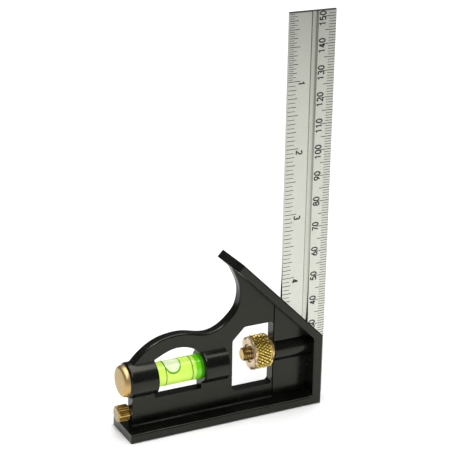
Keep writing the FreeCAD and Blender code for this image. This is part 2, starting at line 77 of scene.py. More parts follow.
# ---------------------------------------------------------------------------------------------- materials
class Mat:
    """A small helper round one node material."""

    def __init__(self, name):
        self.mat = bpy.data.materials.new(name)
        self.mat.use_nodes = True
        self.nt = self.mat.node_tree
        self.bsdf = self.nt.nodes["Principled BSDF"]
        self.out = self.nt.nodes["Material Output"]
        self.coord = None

    def set(self, **kw):
        for k, v in kw.items():
            self.bsdf.inputs[k.replace("_", " ")].default_value = v
        return self

    def node(self, kind, **kw):
        n = self.nt.nodes.new(kind)
        for k, v in kw.items():
            if hasattr(n, k):
                setattr(n, k, v)
            else:
                n.inputs[k.replace("_", " ")].default_value = v
        return n

    def link(self, a, b):
        self.nt.links.new(a, b)

    def object_coord(self, scale=(1, 1, 1)):
        if self.coord is None:
            self.coord = self.node("ShaderNodeTexCoord")
        m = self.node("ShaderNodeMapping")
        m.inputs["Scale"].default_value = scale
        self.link(self.coord.outputs["Object"], m.inputs["Vector"])
        return m.outputs["Vector"]

    def noise(self, scale, detail=3.0, rough=0.5, stretch=(1, 1, 1)):
        n = self.node("ShaderNodeTexNoise", Scale=scale, Detail=detail, Roughness=rough)
        self.link(self.object_coord(stretch), n.inputs["Vector"])
        return n.outputs["Fac"]

    def remap(self, value, lo, hi, a=0.3, b=0.7):
        m = self.node("ShaderNodeMapRange")
        m.inputs["From Min"].default_value = a
        m.inputs["From Max"].default_value = b
        m.inputs["To Min"].default_value = lo
        m.inputs["To Max"].default_value = hi
        self.link(value, m.inputs["Value"])
        return m.outputs["Result"]

    def mix(self, fac, a, b):
        m = self.node("ShaderNodeMix", data_type="RGBA")
        self.link(fac, m.inputs[0])
        for value, sock in ((a, m.inputs[6]), (b, m.inputs[7])):
            if isinstance(value, tuple):
                sock.default_value = (*value, 1.0)
            else:
                self.link(value, sock)
        return m.outputs[2]

    def math(self, op, a, b=None):
        m = self.node("ShaderNodeMath", operation=op)
        for v, s in ((a, m.inputs[0]), (b, m.inputs[1])):
            if v is None:
                continue
            if isinstance(v, (int, float)):
                s.default_value = v
            else:
                self.link(v, s)
        return m.outputs[0]

    def attr(self, name):
        n = self.node("ShaderNodeAttribute", attribute_name=name)
        return n.outputs["Fac"]

    def base(self, colour):
        self.link(colour, self.bsdf.inputs["Base Color"])

    def rough(self, value):
        self.link(value, self.bsdf.inputs["Roughness"])

    def bump(self, layers):
        """layers: (height socket, distance in metres, strength) tuples, laid over each other."""
        last = None
        for height, dist, strength in layers:
            b = self.node("ShaderNodeBump")
            b.inputs["Distance"].default_value = dist
            b.inputs["Strength"].default_value = strength
            self.link(height, b.inputs["Height"])
            if last is not None:
                self.link(last, b.inputs["Normal"])
            last = b.outputs["Normal"]
        self.link(last, self.bsdf.inputs["Normal"])


def enamel():
    m = Mat("head_enamel").set(IOR=1.40, Specular_Tint=(1.0, 1.0, 0.84, 1.0))
    big = m.noise(140, 3.0)
    fine = m.noise(1500, 2.0)
    cast = m.noise(420, 3.0, 0.6)
    m.base(m.mix(m.remap(big, 0, 1), (0.0022, 0.0023, 0.0019), (0.0048, 0.0049, 0.0040)))
    m.rough(m.math("ADD", m.remap(fine, 0.17, 0.25), m.remap(big, -0.02, 0.05)))
    m.bump([(cast, 0.00004, 0.22), (fine, 0.00001, 0.35)])
    return m.mat


def blade_steel():
    m = Mat("blade_steel").set(Metallic=1.0)
    grain = m.noise(1.0, 4.0, 0.65, (15000, 15000, 260))
    cloud = m.noise(110, 3.0)
    speck = m.noise(3800, 2.0, 0.7)
    tone = m.mix(m.remap(grain, 0, 1, 0.25, 0.75), (0.525, 0.538, 0.478), (0.615, 0.628, 0.562))
    tone = m.mix(m.remap(cloud, 0, 0.35), tone, (0.560, 0.563, 0.492))
    # painted shade along the groove's walls, carried by the cavity attribute
    tone = m.mix(m.attr("cavity"), tone, (0.22, 0.235, 0.185))
    # the base colour turns near black over the top half millimetre of the blade
    sep = m.node("ShaderNodeSeparateXYZ")
    m.link(m.object_coord(), sep.inputs[0])
    tone = m.mix(m.remap(sep.outputs[2], 0, 0.86, 151.88 * MM, 152.16 * MM), tone, (0.045, 0.055, 0.045))
    m.base(tone)
    m.rough(m.math("ADD", m.remap(grain, 0.17, 0.27), m.remap(speck, -0.03, 0.05)))
    m.bump([(grain, 0.000012, 0.35), (speck, 0.000008, 0.25)])
    return m.mat


def scale_black():
    m = Mat("scale_black")
    n = m.noise(5200, 3.0, 0.7)
    m.base(m.mix(m.remap(n, 0, 1), (0.012, 0.012, 0.011), (0.052, 0.052, 0.048)))
    m.rough(m.remap(n, 0.45, 0.75))
    m.bump([(n, 0.00001, 0.4)])
    return m.mat


def brass(name, low, high, dark, r0, r1, turned=0.0, bump=0.2, cavity=False, centre=None,
          pale=None, metal=1.0):
    m = Mat(name).set(Metallic=metal)
    cloud = m.noise(380, 4.0, 0.6)
    fine = m.noise(5200, 3.0, 0.65)
    tone = m.mix(m.remap(cloud, 0, 1), low, high)
    # painted light: on the smooth end faces the brass is swapped for a second, less metallic colour (paler on the
    # nut, greyer on the knob) standing in for the light those faces catch
    if pale:
        tone = m.mix(m.attr("pale"), tone, pale)
        m.link(m.math("SUBTRACT", metal, m.math("MULTIPLY", m.attr("pale"), 0.4)), m.bsdf.inputs["Metallic"])
    layers = [(fine, 0.00001, bump)]
    rough = m.math("ADD", m.remap(cloud, r0, r1), m.remap(fine, -0.03, 0.04))
    # painted shade: the dark colour is laid into the knurl, thread and flute hollows by the cavity attribute
    if cavity:
        cav = m.attr("cavity")
        tone = m.mix(cav, tone, dark)
        rough = m.math("ADD", rough, m.math("MULTIPLY", cav, 0.25))
    if turned:
        # fine rings left by the lathe, about the piece's own X axis
        sep = m.node("ShaderNodeSeparateXYZ")
        m.link(m.object_coord(), sep.inputs[0])
        dy = sep.outputs[1]
        dz = m.math("SUBTRACT", sep.outputs[2], centre)
        rr = m.math("SQRT", m.math("ADD", m.math("MULTIPLY", dy, dy), m.math("MULTIPLY", dz, dz)))
        comb = m.node("ShaderNodeCombineXYZ")
        m.link(rr, comb.inputs[0])
        ring = m.node("ShaderNodeTexNoise", Scale=turned, Detail=3.0, Roughness=0.7)
        m.link(comb.outputs[0], ring.inputs["Vector"])
        tone = m.mix(m.remap(ring.outputs["Fac"], 0, 0.45), tone, dark)
        # painted reflection: the cap turns a warmer orange towards its lower front (-Y) edge
        painted_reflection = m.math("MULTIPLY", m.remap(dy, 0.75, 0.0, -4.6 * MM, 1.5 * MM), m.remap(dz, 1.0, 0.25, -3.5 * MM, 3.0 * MM))
        tone = m.mix(painted_reflection, tone, (0.62, 0.38, 0.11))
        layers.append((ring.outputs["Fac"], 0.00002, 0.35))
    m.base(tone)
    m.rough(rough)
    m.bump(layers)
    return m.mat


def plain_steel(name, a, b, r0, r1):
    m = Mat(name).set(Metallic=1.0)
    grain = m.noise(1.0, 3.0, 0.6, (900, 9000, 9000))
    m.base(m.mix(m.remap(grain, 0, 1), a, b))
    m.rough(m.remap(grain, r0, r1))
    m.bump([(grain, 0.000008, 0.25)])
    return m.mat


def acrylic():
    m = Mat("vial_acrylic").set(IOR=1.47, Transmission_Weight=1.0)
    n = m.noise(900, 2.0)
    m.base(m.mix(m.remap(n, 0, 1), (0.95, 1.0, 0.84), (0.98, 1.0, 0.90)))
    m.rough(m.remap(n, 0.015, 0.045))
    m.bump([(n, 0.000006, 0.12)])
    return m.mat


def index_matched():
    """The tube's inner wall, which the spirit wets: no reflection and no bending of light there."""
    m = Mat("vial_wet_wall")
    t = m.node("ShaderNodeBsdfTransparent")
    n = m.noise(700, 2.0)
    m.link(m.mix(m.remap(n, 0, 1), (0.985, 1.0, 0.95), (1.0, 1.0, 0.98)), t.inputs["Color"])
    m.link(t.outputs[0], m.out.inputs["Surface"])
    return m.mat


def spirit():
    m = Mat("vial_spirit").set(IOR=1.36, Alpha=0.86, Specular_IOR_Level=0.0)
    sep = m.node("ShaderNodeSeparateXYZ")
    m.link(m.object_coord(), sep.inputs[0])
    x = sep.outputs[0]
    n = m.noise(260, 3.0)
    lime = m.mix(m.remap(n, 0, 1), (0.64, 0.86, 0.125), (0.74, 0.92, 0.185))
    deep = (0.16, 0.60, 0.010)
    end = m.remap(x, 0, 1, (28.15 - X0) * MM, (28.75 - X0) * MM)
    near = m.remap(x, 0.55, 0, (9.5 - X0) * MM, (13.2 - X0) * MM)
    col = m.mix(near, lime, deep)
    col = m.mix(end, col, deep)
    m.base(col)
    # painted glow: the spirit emits its own lime colour, standing in for light passing through the vial
    m.link(col, m.bsdf.inputs["Emission Color"])
    m.bsdf.inputs["Emission Strength"].default_value = 0.50
    m.rough(m.remap(n, 0.3, 0.5))
    return m.mat


def end_green():
    """The tube's solid end past the cavity, which shows the dye as a deeper green."""
    m = Mat("vial_end").set(IOR=1.47)
    n = m.noise(500, 2.0)
    col = m.mix(m.remap(n, 0, 1), (0.13, 0.52, 0.008), (0.18, 0.60, 0.014))
    m.base(col)
    m.rough(m.remap(n, 0.08, 0.16))
    # painted glow: the green end emits a little of its own colour
    m.link(col, m.bsdf.inputs["Emission Color"])
    m.bsdf.inputs["Emission Strength"].default_value = 0.14
    return m.mat


def bubble_air():
    m = Mat("vial_bubble").set(IOR=1.1, Roughness=0.25, Specular_IOR_Level=0.2)
    # painted light: the bubble glows with a pale colour and carries a painted dark-green outline along its rim
    rim = m.attr("rim")
    n = m.noise(500, 2.0)
    pale = m.mix(m.remap(n, 0, 1), (0.86, 0.93, 0.68), (0.92, 0.96, 0.80))
    col = m.mix(rim, pale, (0.13, 0.36, 0.02))
    m.base(col)
    m.link(col, m.bsdf.inputs["Emission Color"])
    m.bsdf.inputs["Emission Strength"].default_value = 0.46
    return m.mat


def line_green():
    m = Mat("vial_lines")
    n = m.noise(1500, 2.0)
    m.base(m.mix(m.remap(n, 0, 1), (0.05, 0.13, 0.008), (0.085, 0.20, 0.012)))
    m.rough(m.remap(n, 0.4, 0.6))
    return m.mat


def plug_plastic():
    m = Mat("vial_plug_plastic").set(IOR=1.5)
    n = m.noise(700, 2.0)
    m.base(m.mix(m.remap(n, 0, 1), (0.08, 0.42, 0.01), (0.12, 0.52, 0.015)))
    m.rough(m.remap(n, 0.25, 0.4))
    return m.mat


# ---------------------------------------------------------------------------------------------- mesh helpers
def piece(name, verts, faces, mats, body, angle=32.0, smooth=True, attrs=None, index=None):
    """A closed mesh in the row frame that rides on a CAD body."""
    me = bpy.data.meshes.new(name)
    me.from_pydata([tuple(v) for v in verts], [], [tuple(f) for f in faces])
    for key, values in (attrs or {}).items():
        a = me.attributes.new(key, "FLOAT", "POINT")
        a.data.foreach_set("value", np.asarray(values, np.float32))
    for m in mats if isinstance(mats, (list, tuple)) else [mats]:
        me.materials.append(m)
    if index is not None:
        me.polygons.foreach_set("material_index", np.asarray(index, np.int32))
    bm = bmesh.new()
    bm.from_mesh(me)
    bmesh.ops.recalc_face_normals(bm, faces=bm.faces)
    bm.to_mesh(me)
    bm.free()
    me.polygons.foreach_set("use_smooth", [smooth] * len(me.polygons))
    if smooth:
        me.set_sharp_from_angle(angle=math.radians(angle))
    me.update()
    ob = bpy.data.objects.new(name, me)
    scene.collection.objects.link(ob)
    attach(ob, body)
    return ob


def ring_mesh(rings, close_rings=False):
    """Faces between rings of equal length (lists of points); a ring of one point is a pole."""
    verts, starts = [], []
    for r in rings:
        starts.append((len(verts), len(r)))
        verts.extend(r)
    faces = []
    pairs = list(zip(starts[:-1], starts[1:]))
    if close_rings:
        pairs.append((starts[-1], starts[0]))
    for (a, na), (b, nb) in pairs:
        if na == 1 and nb == 1:
            continue
        n = max(na, nb)
        for i in range(n):
            j = (i + 1) % n
            if na == 1:
                faces.append((a, b + i, b + j))
            elif nb == 1:
                faces.append((a + i, a + j, b))
            else:
                faces.append((a + i, a + j, b + j, b + i))
    return verts, faces


def lathe(profile, seg, zc, radius=None, loop=False):
    """profile: (x, r) points in mm round the axis y = 0, z = zc.  radius(x, r, t, k) may change r at angle t."""
    rings = []
    for k, (x, r) in enumerate(profile):
        if r <= 1e-6:
            rings.append([P(x, 0, zc)])
            continue
        row = []
        for i in range(seg):
            t = 2 * math.pi * i / seg
            rr = radius(x, r, t, k) if radius else r
            row.append(P(x, -rr * math.sin(t), zc + rr * math.cos(t)))
        rings.append(row)
    return ring_mesh(rings, loop)


def fillet_points(x0, r0, x1, r1, n=4, bulge=0.29):
    """A small rounded corner between two profile points (quarter round seen from outside)."""
    out = []
    for i in range(n + 1):
        a = math.pi / 2 * i / n
        out.append((x0 + (x1 - x0) * math.sin(a), r0 + (r1 - r0) * (1 - math.cos(a))))
    return out


def prism(outline, z0, z1, edge=0.08):
    """A prism along Z of an (x, y) outline, with a small chamfer at both ends."""
    cx = sum(p[0] for p in outline) / len(outline)
    cy = sum(p[1] for p in outline) / len(outline)

    def row(z, inset):
        out = []
        for x, y in outline:
            dx, dy = x - cx, y - cy
            out.append(P(x - math.copysign(min(inset, abs(dx)), dx), y - math.copysign(min(inset * 0.7, abs(dy) * 0.5), dy), z))
        return out

    rows = [row(z0, edge), row(z0 + edge, 0), row(z1 - edge, 0), row(z1, edge)]
    verts, faces = ring_mesh(rows)
    n = len(outline)
    faces.append(tuple(range(n))[::-1])
    faces.append(tuple(range(3 * n, 4 * n)))
    return verts, faces


# ---------------------------------------------------------------------------------------------- the head
EN = enamel()


def dress_node(name, mat):
    ob = nodes[name]
    ob.data.materials.clear()
    ob.data.materials.append(mat)
    return ob


dress_node("head_casting", EN)


# ---------------------------------------------------------------------------------------------- the blade
def blade_outline():
    """The blade's section: rounded arrises, and the clamping groove as a rounded channel on the -Y side."""
    x0, x1, h, e = 65.4, 84.4, 0.6, 0.09
    g0, g1, depth = 74.4, 77.0, 0.45
    # each flat starts and ends with a narrow strip, so its own shading stays truly flat
    s = 0.05
    pts = [(x0, -h + e), (x0 + e * 0.3, -h + e * 0.3), (x0 + e, -h), (x0 + e + s, -h)]
    pts += [(g0 - 0.10 - s, -h), (g0 - 0.10, -h), (g0 - 0.02, -h + 0.02)]
    n = 18
    for i in range(n + 1):
        t = i / n
        x = g0 + 0.02 + (g1 - g0 - 0.04) * t
        u = 2 * t - 1
        pts.append((x, -h + 0.035 + (depth - 0.035) * (1 - abs(u) ** 3.6) ** 0.8))
    pts += [(g1 + 0.02, -h + 0.02), (g1 + 0.10, -h), (g1 + 0.10 + s, -h)]
    pts += [(x1 - e - s, -h), (x1 - e, -h), (x1 - e * 0.3, -h + e * 0.3), (x1, -h + e)]
    pts += [(x1, h - e), (x1 - e * 0.3, h - e * 0.3), (x1 - e, h), (x1 - e - s, h)]
    pts += [(x0 + e + s, h), (x0 + e, h), (x0 + e * 0.3, h - e * 0.3), (x0, h - e)]
    return pts


STEEL = blade_steel()
BLACK = scale_black()
section = blade_outline()
v, f = prism(section, 0.0, 152.4, 0.02)
# painted shade: the groove's walls are darkened, the +X wall most, and the darkening grows from the foot of the
# blade to its top
groove_shade = []
for px, py in section:
    inside = 74.41 < px < 76.99 and py < -0.01
    u = (px - 75.7) / 1.1
    wall = 0.20 + (0.80 if u > 0 else 0.28) * min(1.0, abs(u)) ** 2
    groove_shade.append(wall if inside else 0.0)
blade = piece("blade_rule", v, f, STEEL, "blade", angle=24, attrs={"cavity": [w * k for k in (0.62, 0.62, 1.0, 1.0) for w in groove_shade]})
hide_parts("blade")

PROUD = 0.012       # the black of the scales stands this far out of the steel
SUNK = 0.02


class Marks:
    """Collects thin closed blocks that make the scale lines, and the digits."""

    def __init__(self, side):
        self.side = side            # -1 is the grooved face, +1 the plain one
        self.v, self.f = [], []

    def y(self):
        s = self.side
        return s * (0.6 + PROUD), s * (0.6 - SUNK)

    def block(self, x0, x1, z0, z1):
        ya, yb = self.y()
        n = len(self.v)
        for y in (ya, yb):
            self.v += [P(x0, y, z0), P(x1, y, z0), P(x1, y, z1), P(x0, y, z1)]
        self.f += [(n, n + 1, n + 2, n + 3), (n + 7, n + 6, n + 5, n + 4)]
        for i in range(4):
            j = (i + 1) % 4
            self.f.append((n + i, n + 4 + i, n + 4 + j, n + j))

    def stroke(self, pts, w, place):
        """A ribbon of width w along points (closed block with mitred joints), put in place by place(u, v)."""
        pts = [Vector(p) for p in pts]
        closed = (pts[0] - pts[-1]).length < 1e-6
        if closed:
            pts = pts[:-1]
        n = len(pts)
        left, right = [], []
        for i, p in enumerate(pts):
            a = pts[i - 1] if (i or closed) else None
            b = pts[(i + 1) % n] if (i < n - 1 or closed) else None
            if a is None:
                d = (b - p).normalized()
                m = Vector((-d.y, d.x)) * w / 2
            elif b is None:
                d = (p - a).normalized()
                m = Vector((-d.y, d.x)) * w / 2
            else:
                d1, d2 = (p - a).normalized(), (b - p).normalized()
                n1, n2 = Vector((-d1.y, d1.x)), Vector((-d2.y, d2.x))
                m = n1 + n2
                m = m.normalized() * (w / 2) / max(0.55, m.normalized().dot(n1))
            left.append(p + m)
            right.append(p - m)
        ya, yb = self.y()
        base = len(self.v)
        for y in (ya, yb):
            for l, r in zip(left, right):
                for q in (l, r):
                    x, z = place(q.x, q.y)
                    self.v.append(P(x, y, z))
        k = 2 * n
        rng = range(n) if closed else range(n - 1)
        for i in rng:
            j = (i + 1) % n
            a, b, c, d = base + 2 * i, base + 2 * i + 1, base + 2 * j + 1, base + 2 * j
            self.f += [(a, b, c, d), (d + k, c + k, b + k, a + k), (a, d, d + k, a + k), (b, b + k, c + k, c)]
        if not closed:
            for i in (0, n - 1):
                a, b = base + 2 * i, base + 2 * i + 1
                self.f.append((a, b, b + k, a + k))


def arc(cx, cy, rx, ry, a0, a1, n=10):
    return [(cx + rx * math.cos(math.radians(a0 + (a1 - a0) * i / n)),
             cy + ry * math.sin(math.radians(a0 + (a1 - a0) * i / n))) for i in range(n + 1)]


# Plain engraved digits, drawn on a box 0.62 wide and 1 high.
GLYPHS = {
    "0": [arc(0.31, 0.5, 0.27, 0.5, 90, 450, 20)],
    "1": [[(0.10, 0.78), (0.34, 1.0), (0.34, 0.0)]],
    "2": [arc(0.31, 0.72, 0.26, 0.28, 165, -35, 10) + [(0.06, 0.02), (0.60, 0.02)]],
    "3": [arc(0.29, 0.76, 0.24, 0.24, 155, -80, 10), arc(0.29, 0.27, 0.28, 0.27, 80, -155, 12)],
    "4": [[(0.60, 0.27), (0.03, 0.27)], [(0.05, 0.24), (0.44, 1.0)], [(0.43, 0.96), (0.43, 0.0)]],
    "5": [[(0.54, 0.98), (0.14, 0.98), (0.09, 0.56)] + arc(0.30, 0.32, 0.27, 0.30, 115, -150, 12)],
    "6": [[(0.46, 1.0), (0.16, 0.58)] + arc(0.31, 0.29, 0.26, 0.29, 160, 520, 18)[0:19]],
    "7": [[(0.05, 0.98), (0.58, 0.98), (0.24, 0.0)]],
    "8": [arc(0.31, 0.75, 0.22, 0.24, 90, 450, 16), arc(0.31, 0.26, 0.27, 0.26, 90, 450, 18)],
    "9": [[(0.16, 0.0), (0.46, 0.42)] + arc(0.31, 0.71, 0.26, 0.29, -20, 340, 18)],
}


def write(marks, text, x_mid, z_mid, height, turn, w, pitch=0.68):
    """turn +1: reads bottom to top on the grooved face; -1: reads top to bottom."""
    s = -marks.side
    n = len(text)
    width = height * (0.62 + pitch * (n - 1) * 1.0)
    for k, ch in enumerate(text):
        for line in GLYPHS[ch]:
            def place(u, vv, k=k):
                along = (u + pitch * k) * height - width / 2
                rise = (vv - 0.5) * height
                # reading direction is +Z (turn +1) or -Z (turn -1); the digits' tops follow from the face seen
                return x_mid - turn * s * rise, z_mid + turn * along
            marks.stroke(line, w, place)


def scales(side):
    m = Marks(side)
    # the grooved face carries millimetres along the right edge and inches along the left one;
    # on the plain face they change places as seen, so both scales keep to their own edge of the steel
    right, left = 84.4, 65.4
    if side > 0:
        right, left = left, right
    sx = 1 if right > left else -1
    e = 0.10
    for i in range(1, 152):
        length = 5.2 if i % 10 == 0 else (4.6 if i % 5 == 0 else 3.0)
        w = 0.21 if i % 5 else 0.25
        a, b = right - sx * e, right - sx * length
        m.block(min(a, b), max(a, b), i - w / 2, i + w / 2)
    for i in range(10, 151, 10):
        text = str(i)
        dz = -0.7 if len(text) == 3 else 0.0
        write(m, text, right - sx * 5.58, i + dz, 2.38, 1, 0.22, 0.80)
    for k in range(1, 192):
        z = 152.4 - 25.4 * k / 32.0
        if k % 2 and k > 32:
            continue
        if z < 0.3:
            continue
        length = 5.0 if k % 32 == 0 else 4.4 if k % 16 == 0 else 3.9 if k % 8 == 0 else 3.5 if k % 4 == 0 else \
            3.1 if k % 2 == 0 else 2.0
        w = 0.25 if k % 4 == 0 else 0.20
        a, b = left + sx * e, left + sx * length
        m.block(min(a, b), max(a, b), z - w / 2, z + w / 2)
    for i in range(1, 6):
        z = 152.4 - 25.4 * i
        write(m, str(i), left + sx * 5.40, z - (0.85 if i == 1 else 1.5), 2.4, -1, 0.23)
    return m


for side, name in ((-1, "scale_marks_front"), (1, "scale_marks_back")):
    m = scales(side)
    piece(name, m.v, m.f, BLACK, "blade", smooth=False)


# ---------------------------------------------------------------------------------------------- the clamp nut
def tri(t):
    t = t - math.floor(t)
    return 1 - abs(2 * t - 1)


def clamp_nut():
    zc, R, seg = 22.7, 6.9, 384
    lobes, fr, fc = 6, 2.5, 8.3
    pitch = 1.30
    knurl = 0.42
    x0, x1 = 52.0, 59.9
    turns = round(2 * math.pi * R / pitch)
    depth = []

    def lobe_cut(t):
        step = 2 * math.pi / lobes
        d = t % step - step / 2          # the hollows lie half a step from the top
        if fc * abs(math.sin(d)) >= fr:
            return 0.0
        return max(0.0, R - (fc * math.cos(d) - math.sqrt(fr * fr - (fc * math.sin(d)) ** 2)))

    smooth_cut = []
    for i in range(seg):
        smooth_cut.append(sum(lobe_cut(2 * math.pi * (i + o) / seg) for o in range(-7, 8)) / 15)

    prof = []          # (x, r, kind): kind 1 follows the lobes, 2 is knurled too, 0 is round
    prof += [(x0 + 1.3, 2.66, 0), (x0 + 0.75, 2.66, 0), (x0 + 0.70, 2.95, 0), (x0 + 0.62, 3.30, 0), (x0 + 0.10, 3.62, 0),
             (x0, 3.78, 0), (x0, 4.2, 0), (x0, 5.6, 1)]
    prof += [(x0 + 0.05, 5.93, 1), (x0 + 0.20, 6.24, 1), (x0 + 0.42, 6.48, 1), (x0 + 0.62, 6.62, 1)]
    k0, k1 = x0 + 0.78, x1 - 1.15
    rows = 58
    for k in range(rows + 1):
        prof.append((k0 + (k1 - k0) * k / rows, R, 2))
    prof += [(x1 - 0.90, 6.76, 1), (x1 - 0.60, 6.56, 1), (x1 - 0.32, 6.28, 1), (x1 - 0.10, 5.95, 1), (x1, 5.6, 1), (x1, 4.45, 0),
             (x1 + 0.02, 4.38, 0), (x1 + 0.10, 4.32, 0), (x1 + 0.2, 4.3, 0), (61.02, 4.3, 0), (61.12, 4.22, 0), (61.15, 4.05, 0),
             (61.15, 2.80, 0), (61.05, 2.66, 0)]
    pale = []
    rings = []
    for x, r, kind in prof:
        row = []
        for i in range(seg):
            t = 2 * math.pi * i / seg
            rr, cav = r, 0.0
            if kind >= 1:
                rr -= smooth_cut[i] * (r / R) * (1.0 if kind == 2 else 0.96)
                # painted shade in the hollows between the lobes
                cav = 0.12 * min(1.0, smooth_cut[i] / 0.8)
            if kind == 2:
                edge = min(1.0, (x - k0) / 0.35, (k1 - x) / 0.35)
                edge = max(0.0, edge)
                a = turns * t / (2 * math.pi)
                b = (x - x0) * 0.62 / pitch
                h = min(tri(a + b), tri(a - b))
                h = min(1.0, h * 1.75)
                rr -= knurl * (1 - h) * (0.35 + 0.65 * edge)
                # painted shade in the knurl valleys
                cav += (1 - h) ** 0.85 * edge
            row.append(P(x, -rr * math.sin(t), zc + rr * math.cos(t)))
            depth.append(min(1.0, cav))
            # painted light: the smooth end faces get the paler brass (pale 1 at the front, 0.55 at the rear)
            pale.append(0.0 if kind == 2 else (1.0 if x < x0 + 1.0 else 0.55))
        rings.append(row)
    v, f = ring_mesh(rings, True)
    return v, f, depth, pale


NUT = brass("nut_brass", (0.90, 0.64, 0.11), (1.0, 0.79, 0.22), (0.055, 0.030, 0.003), 0.15, 0.26, bump=0.35, cavity=True,
            pale=(0.80, 0.61, 0.38), metal=0.88)
v, f, cav, pale = clamp_nut()
nut = piece("clamp_nut_knurled", v, f, NUT, "nut", angle=38, attrs={"cavity": cav, "pale": pale})
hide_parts("clamp_nut")


# ---------------------------------------------------------------------------------------------- the draw bolt
def draw_bolt():
    zc, pitch, seg = 22.7, 0.8, 72
    x0, x1 = 49.0, 60.9
    rings, cav = [[P(x0 + 0.12, 0, zc)]], [0.1]
    prof = [(x0 + 0.10, 0.9, 0.0), (x0 + 0.02, 1.5, 0.0), (x0, 1.95, 0.0), (x0 + 0.05, 2.15, 0.0)]
    steps = 120
    for k in range(steps + 1):
        x = x0 + 0.12 + (x1 - x0 - 0.12) * k / steps
        prof.append((x, 2.6, 1.0))
    prof += [(61.0, 2.45, 0.0), (61.3, 2.6, 0.0), (64.0, 2.6, 0.0), (64.0, 3.15, 0.0), (64.15, 3.33, 0.0), (64.3, 3.35, 0.0),
             (64.8, 3.35, 0.0), (64.8, 2.0, 0.0)]
    for x, r, threaded in prof:
        row = []
        for i in range(seg):
            t = 2 * math.pi * i / seg
            rr, c = r, 0.05
            if threaded:
                ph = tri((x - x0) / pitch + t / (2 * math.pi))
                rr = 2.6 - 0.42 * (1 - min(1.0, ph * 1.25))
                lead = 2.2 + (x - x0) * 0.8
                rr = min(rr, lead)
                # painted shade in the thread roots
                c = 0.95 * (1 - min(1.0, ph * 1.25))
            row.append(P(x, -rr * math.sin(t), zc + rr * math.cos(t)))
            cav.append(c)
        rings.append(row)
    rings.append([P(64.8, 0, zc)])
    cav.append(0.05)
    v, f = ring_mesh(rings)

    # the slotted head that straddles the blade: two jaws, and the tongue that sits in the blade's groove
    def add(vs, fs, c=0.05):
        n = len(v)
        v.extend(vs)
        f.extend(tuple(i + n for i in face) for face in fs)
        cav.extend([c] * len(vs))

    for side in (-1, 1):
        a0 = math.asin(0.65 / 3.35)
        section = []
        for i in range(25):
            a = a0 + (math.pi - 2 * a0) * i / 24
            section.append((side * 3.35 * math.sin(a), 3.35 * math.cos(a)))
        rows = [[P(x, y * s + side * 0.65 * (1 - s), zc + z * s) for y, z in section]
                for x, s in ((64.8, 1.0), (77.5, 1.0), (77.7, 0.96))]
        vs, fs = ring_mesh(rows)
        n = len(section)
        fs.append(tuple(range(n))[::-1])
        fs.append(tuple(range(2 * n, 3 * n)))
        add(vs, fs)
    tx0, tx1, ty0, ty1, tz0, tz1 = 74.45, 76.45, -0.95, -0.27, zc - 2.5, zc + 2.5
    vs = [P(x, y, z) for x in (tx0, tx1) for y in (ty0, ty1) for z in (tz0, tz1)]
    add(vs, [(0, 1, 3, 2), (4, 6, 7, 5), (0, 4, 5, 1), (2, 3, 7, 6), (0, 2, 6, 4), (1, 5, 7, 3)])
    return v, f, cav


BOLT = brass("bolt_brass", (0.46, 0.30, 0.085), (0.70, 0.50, 0.19), (0.10, 0.055, 0.012), 0.20, 0.34, bump=0.4, cavity=True)
v, f, cav = draw_bolt()
bolt = piece("clamp_bolt_threaded", v, f, BOLT, "bolt", angle=35, attrs={"cavity": cav})
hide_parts("clamp_bolt")


# ---------------------------------------------------------------------------------------------- scriber knob
def scriber_knob():
    zc, R, seg, flutes = 8.75, 3.1, 264, 22
    x0, x1 = -2.4, 2.2
    prof = [(x0 + 0.10, 0.55, 0), (x0 + 0.02, 1.3, 0), (x0, 2.2, 0), (x0, 2.55, 0), (x0 + 0.05, 2.72, 0.2),
            (x0 + 0.2, 2.95, 0.7), (x0 + 0.38, 3.1, 1)]
    for k in range(1, 12):
        prof.append((x0 + 0.38 + (x1 - x0 - 0.76) * k / 12, 3.1, 1))
    prof += [(x1 - 0.38, 3.1, 1), (x1 - 0.2, 2.95, 0.7), (x1 - 0.05, 2.72, 0.2), (x1, 2.5, 0), (x1, 1.2, 0)]
    rings, cav = [[P(x0 + 0.12, 0, zc)]], [0.0]
    face = [1.0]
    for x, r, amount in prof:
        row = []
        for i in range(seg):
            t = 2 * math.pi * i / seg
            g = tri(flutes * t / (2 * math.pi))
            cut = max(0.0, 1 - g / 0.62) ** 0.7
            row.append(P(x, -(r - 0.27 * cut * amount) * math.sin(t), zc + (r - 0.27 * cut * amount) * math.cos(t)))
            # painted shade in the flutes
            cav.append(min(1.0, cut * amount * 0.95))
            # painted light: the end face gets the greyer brass through the pale attribute
            face.append(1.0 if x < x0 + 0.2 else 0.0)
        rings.append(row)
    rings.append([P(x1, 0, zc)])
    cav.append(0.0)
    face.append(0.0)
    v, f = ring_mesh(rings)
    return v, f, cav, face


KNOB = brass("knob_brass", (0.57, 0.355, 0.075), (0.75, 0.505, 0.14), (0.13, 0.050, 0.008), 0.20, 0.32, bump=0.3, cavity=True,
             pale=(0.345, 0.268, 0.145))
v, f, cav, face = scriber_knob()
knob = piece("scriber_knob_fluted", v, f, KNOB, "scriber", angle=36, attrs={"cavity": cav, "pale": face})
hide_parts("scriber_knob")


